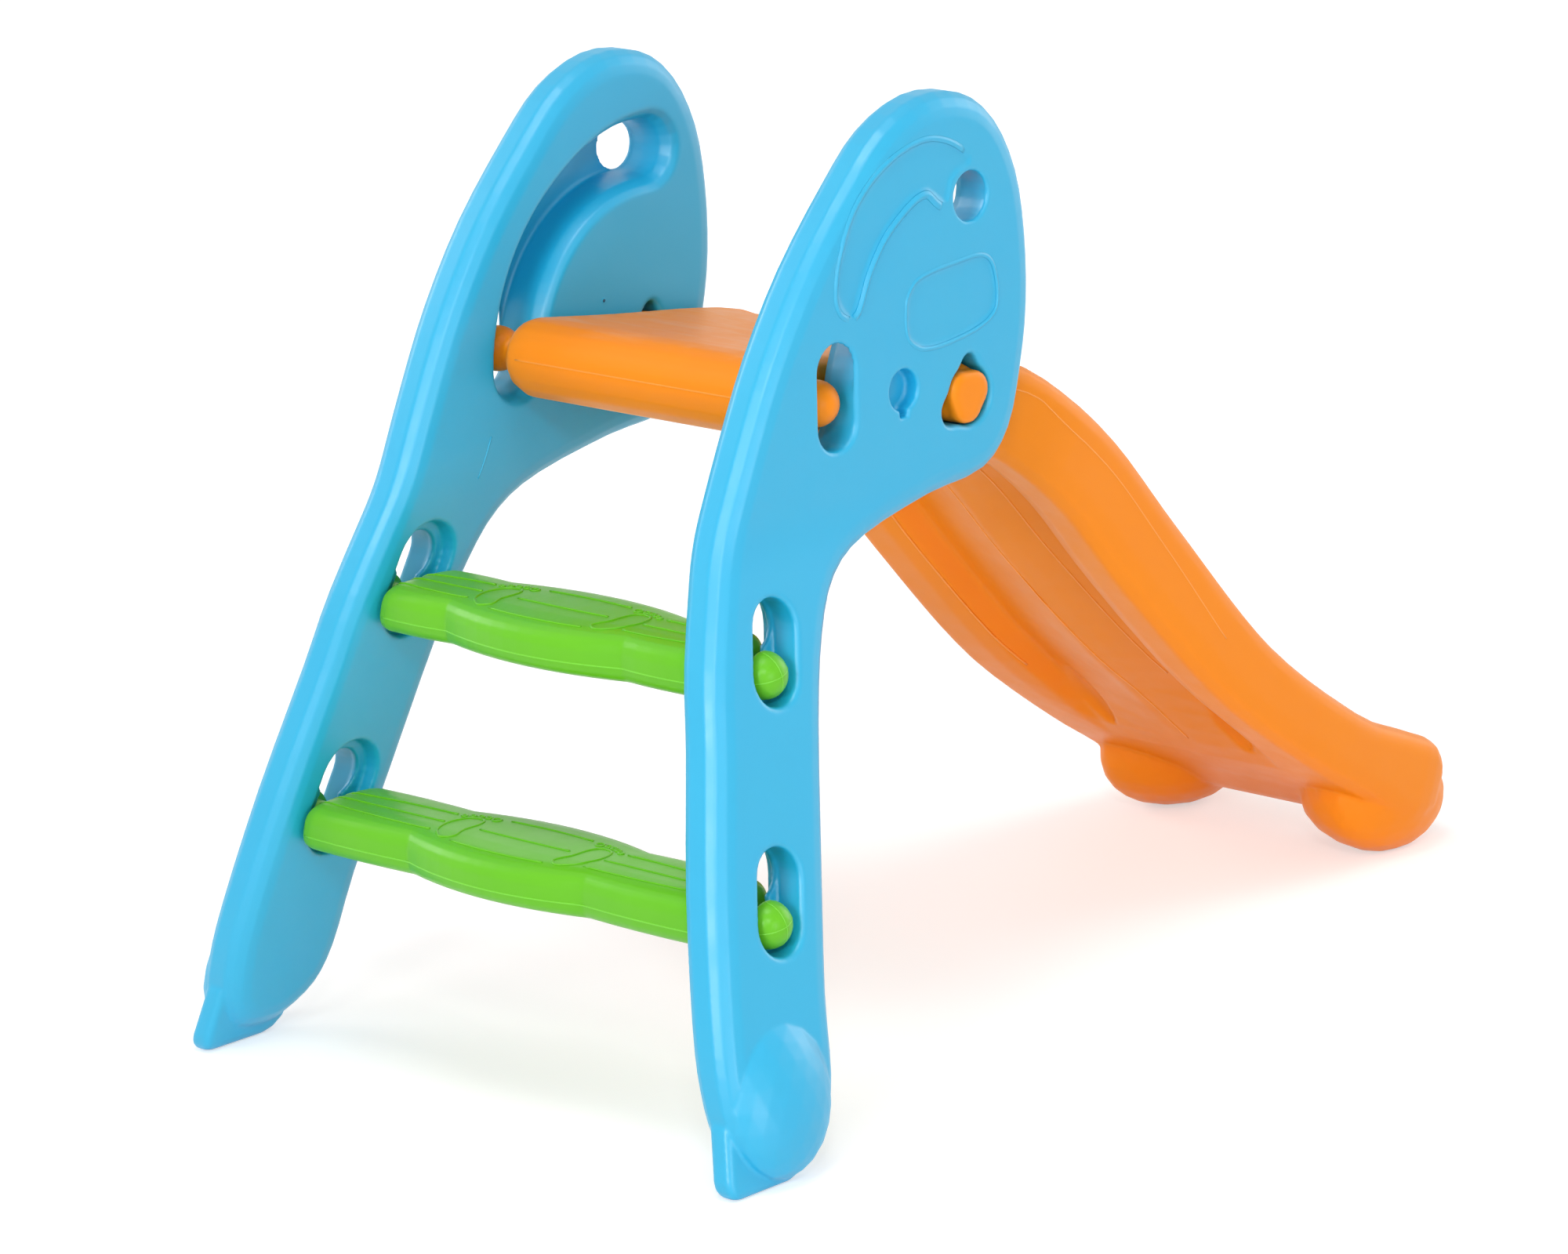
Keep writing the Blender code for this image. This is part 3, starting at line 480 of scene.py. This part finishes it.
class PLAYSLIDE_OT_treads(Operator):
    """Gives the treads their soft edges, their plastic, ribs and footprints"""
    bl_idname = "play_slide.treads"
    bl_label = "Treads"

    def execute(self, context):
        mat = moulded_polyethylene("moulded_polyethylene_green", settings().step_colour,
                                   GREEN_SHADE, roughness=0.34, level=0.3)
        # Paler green for the parting lines: flash, and partly painted highlight
        pale = moulded_polyethylene("moulded_polyethylene_green_flash_and_highlight", *GREEN_FLASH_AND_HIGHLIGHT,
                                    roughness=0.36, level=0.45)
        for node in STEPS:
            dress(node, mat)
            soften(NODES[node], TREAD_VOXEL)
            self.relief(node, mat, pale)
        return {"FINISHED"}

    def relief(self, node, mat, pale):
        """The grip ribs and footprints on top, and the parting lines.

        The lines' places are in millimetres, from the middle of the tread.
        """
        low, high = (Vector(c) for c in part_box(node))
        tree = skin(node)
        centre = (low.x + high.x) / 2
        end = high.y - TREAD_END
        bm = bmesh.new()

        def line(plan, closed=False):
            points, normals = lie(tree, [((centre + x, y, high.z + CLEAR), (0, 0, -1))
                                         for x, y in plan])
            bead(bm, points, normals, settings().rib_width, settings().rib_height, closed)

        def straight(x0, y0, x1, y1, bow=0.0, count=18):
            return [((x0 + (x1 - x0) * t + bow * 4 * t * (1 - t)) * MM,
                     (y0 + (y1 - y0) * t) * MM)
                    for t in (i / count for i in range(count + 1))]

        for x, reach in ((22.5, 40), (-6, 44), (-35, 45)):
            line(straight(x, reach, x, -reach, bow=x * 0.09))
        for side in (-1, 1):
            outer = (end / MM - 7) * side
            for x0, x1, y1 in ((5, 12, 84), (-7.5, -7, 79), (-21.5, -25, 76)):
                line(straight(x0, outer, x1, side * y1, bow=(x1 + 7) * 0.1))
            self.footprint(line, side)
        new_piece(node + "_relief", bm, mat, LADDER)
        bm = bmesh.new()
        self.seam(bm, tree, low, high, centre, end)
        self.ball_seams(bm, tree, low, high, centre)
        new_piece(node + "_parting_lines", bm, pale, LADDER)

    def ball_seams(self, bm, tree, low, high, centre):
        """The two crossing parting lines on the ball at each end."""
        for side in (-1, 1):
            middle = Vector((centre, side * (high.y - BALL_R), (low.z + high.z) / 2))
            for across in (Vector((1, 0, 0.25)), Vector((-0.2, 0, 1))):
                rays = []
                for i in range(25):
                    a = math.pi * (i / 24 - 0.5) * 0.96
                    out = across.normalized() * math.sin(a) + Vector((0, side, 0)) * math.cos(a)
                    rays.append((middle + out * CLEAR, -out))
                points, normals = lie(tree, rays)
                bead(bm, points, normals, 0.8 * MM, 0.2 * MM)

    def footprint(self, line, side):
        """The outline of a small bare foot: a sole and five toes."""
        sole = [(-27, 67), (-33, 57), (-27.5, 49), (-13.7, 53), (4, 53.5), (12.5, 59),
                (9.5, 70.5), (-5, 75), (-19, 72)]
        line(smooth_loop([(x * MM, side * y * MM) for x, y in sole], 6), True)
        for x, y, r in ((18.5, 51.0, 3.4), (18.8, 59.0, 2.5), (17.6, 65.6, 2.3),
                        (15.2, 71.6, 2.1), (11.8, 77.2, 1.9)):
            line([((x + dx) * MM, side * (y + dy) * MM) for dx, dy in circle(r, 14)], True)

    def seam(self, bm, tree, low, high, centre, end):
        """The parting line round the nose and the front, below the middle."""
        z = (low.z + high.z) / 2 - SEAM_DROP
        for facing in (-1, 1):
            places = [(end - SEAM_INSET) * (i / 30 - 1) for i in range(61)]
            points, normals = lie(tree, [((centre + facing * CLEAR, y, z), (-facing, 0, 0))
                                         for y in places])
            bead(bm, points, normals, 1.1 * MM, 0.25 * MM)


class PLAYSLIDE_OT_chute(Operator):
    """Gives the chute and its platform their soft edges, their plastic and their seam"""
    bl_idname = "play_slide.chute"
    bl_label = "Chute"

    def execute(self, context):
        mat = moulded_polyethylene("moulded_polyethylene_orange", settings().chute_colour,
                                   ORANGE_SHADE, roughness=0.40, level=0.25,
                                   streaks=True)
        # Paler orange for the seam and the lines below: flash, and partly painted highlight
        pale = moulded_polyethylene("moulded_polyethylene_orange_flash_and_highlight", *ORANGE_FLASH_AND_HIGHLIGHT,
                                    roughness=0.34, level=0.45)
        dress(CHUTE, mat)
        soften(NODES[CHUTE], CHUTE_VOXEL)
        self.seam(pale)
        return {"FINISHED"}

    def seam(self, mat):
        """The parting line on the walls, the nose and the end, and the lines below."""
        tree = skin(CHUTE)
        low, high = (Vector(c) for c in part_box("chute"))
        end_x = high.x - END_ROLL
        length = end_x - HINGE.x
        bm = bmesh.new()

        def rim(x):
            return on_skin(tree, (x, RIM_Y, high.z + CLEAR), (0, 0, -1))[0].z

        nose_z = HINGE.z + NOSE_LINE_UP
        self.run(bm, tree, [((low.x - CLEAR, -0.112 + 0.224 * i / 40, nose_z), (1, 0, 0))
                            for i in range(41)])
        for side in (-1, 1):
            rays = []
            for i in range(51):
                x = (HINGE.x + WALL_LINE_FROM
                     + WALL_LINE_SHARE * (length - WALL_LINE_FROM) * i / 50)
                slope = (rim(x + 0.004) - rim(x - 0.004)) / 0.008
                normal = Vector((-slope, 0, 1)).normalized()
                on_rim = Vector((x, 0, rim(x)))
                point = on_rim - normal * self.depth((x - HINGE.x) / length)
                rays.append(((point.x, side * CLEAR, point.z), (0, -side, 0)))
            self.run(bm, tree, rays)
        # The lines below take the paler colour as painted highlight along the underside's ridges
        for y0, y1, reach in UNDER_LINES:
            rays = []
            for i in range(61):
                t = i / 60
                x = HINGE.x + (UNDER_LINES_FROM + (reach - UNDER_LINES_FROM) * t) * length
                rays.append(((x, y0 + (y1 - y0) * t, -CLEAR), (0, 0, 1)))
            self.run(bm, tree, rays, width=1.8, height=0.6)
        end_z = rim(end_x) - END_LINE_DOWN
        self.run(bm, tree, [((high.x + CLEAR, -0.118 + 0.236 * i / 40, end_z), (-1, 0, 0))
                            for i in range(41)])
        new_piece("chute_parting_line", bm, mat, SLIDE)

    def depth(self, share):
        """How far the wall's line lies under the rim: less and less from the hinge on."""
        return 0.029 - 0.016 * min(1.0, share / 0.30)

    def run(self, bm, tree, rays, width=1.1, height=0.25):
        """One line where rays meet the chute; sizes in millimetres."""
        points, normals = lie(tree, rays)
        bead(bm, points, normals, width * MM, height * MM)


class PLAYSLIDE_OT_stage(Operator):
    """Sets up the pale floor, the soft lights and the camera"""
    bl_idname = "play_slide.stage"
    bl_label = "Studio"

    def execute(self, context):
        scene = context.scene
        self.floor(scene)
        self.sky(scene)
        for lamp in LAMPS:
            self.light(scene, *lamp)
        self.camera(scene)
        scene.view_settings.view_transform = "Standard"
        return {"FINISHED"}

    def background_rays(self, tree):
        """1 for the rays that see the background: camera, mirror and see-through."""
        ray = add(tree, "ShaderNodeLightPath")
        direct = add(tree, "ShaderNodeMath", [(0, ray.outputs["Is Camera Ray"]),
                                              (1, ray.outputs["Is Glossy Ray"])],
                     operation="MAXIMUM")
        every = add(tree, "ShaderNodeMath", [(0, direct.outputs[0]),
                                             (1, ray.outputs["Is Transmission Ray"])],
                    operation="MAXIMUM")
        return every.outputs[0]

    def floor(self, scene):
        """A floor that looks white to the camera and still takes the shadow."""
        bm = bmesh.new()
        bmesh.ops.create_grid(bm, x_segments=24, y_segments=24, size=FLOOR_HALF)
        mesh = bpy.data.meshes.new("studio_floor")
        bm.to_mesh(mesh)
        bm.free()
        obj = bpy.data.objects.new("studio_floor", mesh)
        obj.location.z = -FLOOR_DROP
        scene.collection.objects.link(obj)
        mat = bpy.data.materials.new("matt_paper_white")
        mat.use_nodes = True
        tree = mat.node_tree
        tree.nodes.clear()
        paper = add(tree, "ShaderNodeBsdfDiffuse", in_Color=PAPER)
        faint = add(tree, "ShaderNodeBsdfDiffuse", in_Color=SEEN_PAPER)
        # Less of its own white near the object, so that the shadow still shows there
        place = add(tree, "ShaderNodeTexCoord").outputs["Object"]
        reach = add(tree, "ShaderNodeVectorMath", [(0, place)], operation="LENGTH")
        rise = add(tree, "ShaderNodeMapRange", [(0, reach.outputs["Value"])],
                   in_1=GLOW_FROM, in_2=GLOW_TO, in_3=GLOW_NEAR, in_4=GLOW_FAR)
        white = settings().backdrop_white
        glow = add(tree, "ShaderNodeEmission", [(1, rise.outputs[0])],
                   in_Color=(white, white, white, 1))
        seen = add(tree, "ShaderNodeAddShader", [(0, faint.outputs[0]),
                                                 (1, glow.outputs[0])])
        mix = add(tree, "ShaderNodeMixShader", [(0, self.background_rays(tree)),
                                                (1, paper.outputs[0]), (2, seen.outputs[0])])
        out = add(tree, "ShaderNodeOutputMaterial")
        tree.links.new(mix.outputs[0], out.inputs[0])
        mesh.materials.append(mat)

    def sky(self, scene):
        """The soft light of the room, and white for the rays that see the background."""
        world = bpy.data.worlds.new("studio")
        scene.world = world
        world.use_nodes = True
        tree = world.node_tree
        tree.nodes.clear()
        soft = add(tree, "ShaderNodeBackground", in_Color=WHITE, in_Strength=ROOM_LEVEL)
        white = add(tree, "ShaderNodeBackground", in_Color=WHITE,
                    in_Strength=settings().backdrop_white)
        mix = add(tree, "ShaderNodeMixShader", [(0, self.background_rays(tree)),
                                                (1, soft.outputs[0]), (2, white.outputs[0])])
        out = add(tree, "ShaderNodeOutputWorld")
        tree.links.new(mix.outputs[0], out.inputs[0])

    def light(self, scene, name, place, target, size, power):
        """One round soft lamp that faces its target."""
        lamp = bpy.data.lights.new(name, "AREA")
        lamp.shape = "DISK"
        lamp.size = size
        lamp.energy = power
        obj = bpy.data.objects.new(name, lamp)
        scene.collection.objects.link(obj)
        obj.location = place
        aim = Vector(target) - Vector(place)
        obj.rotation_euler = aim.to_track_quat("-Z", "Y").to_euler()

    def camera(self, scene):
        """The photograph's own view: azimuth, elevation, roll and a long lens."""
        turn, lift, roll = (math.radians(a) for a in (CAMERA_TURN, CAMERA_LIFT, CAMERA_ROLL))
        look = Vector((-math.sin(turn) * math.cos(lift), math.cos(turn) * math.cos(lift),
                       -math.sin(lift)))
        right = look.cross(Vector((0, 0, 1))).normalized()
        up = right.cross(look)
        across = right * math.cos(roll) + up * math.sin(roll)
        upward = up * math.cos(roll) - right * math.sin(roll)
        cam = bpy.data.cameras.new("camera")
        cam.sensor_width = CAMERA_SENSOR
        cam.lens = CAMERA_LENS
        cam.clip_end = CAMERA_REACH
        obj = bpy.data.objects.new("camera", cam)
        scene.collection.objects.link(obj)
        obj.matrix_world = Matrix((
            (across.x, upward.x, -look.x, CAMERA_PLACE[0]),
            (across.y, upward.y, -look.y, CAMERA_PLACE[1]),
            (across.z, upward.z, -look.z, CAMERA_PLACE[2]),
            (0, 0, 0, 1)))
        scene.camera = obj


class PLAYSLIDE_PT_sidebar(Panel):
    """Shows the settings and a button for each operator in the sidebar"""
    bl_label = "Play slide"
    bl_space_type = "VIEW_3D"
    bl_region_type = "UI"
    bl_category = "Play slide"

    def draw(self, context):
        """The settings, then one button for each operator."""
        layout = self.layout
        for name in PlaySlideSettings.__annotations__:
            layout.prop(context.scene.play_slide, name)
        for operator in OPERATORS:
            layout.operator(operator.bl_idname)


OPERATORS = (PLAYSLIDE_OT_panels, PLAYSLIDE_OT_treads, PLAYSLIDE_OT_chute,
             PLAYSLIDE_OT_stage)
CLASSES = (PlaySlideSettings, *OPERATORS, PLAYSLIDE_PT_sidebar)


def register():
    """Registers the classes and the settings."""
    for cls in CLASSES:
        bpy.utils.register_class(cls)
    bpy.types.Scene.play_slide = PointerProperty(type=PlaySlideSettings)


def unregister():
    """Takes back what register adds."""
    del bpy.types.Scene.play_slide
    for cls in reversed(CLASSES):
        bpy.utils.unregister_class(cls)


def main():
    """Makes every piece and the stage."""
    register()
    bpy.ops.play_slide.panels()
    bpy.ops.play_slide.treads()
    bpy.ops.play_slide.chute()
    bpy.ops.play_slide.stage()


if __name__ == "__main__":
    main()
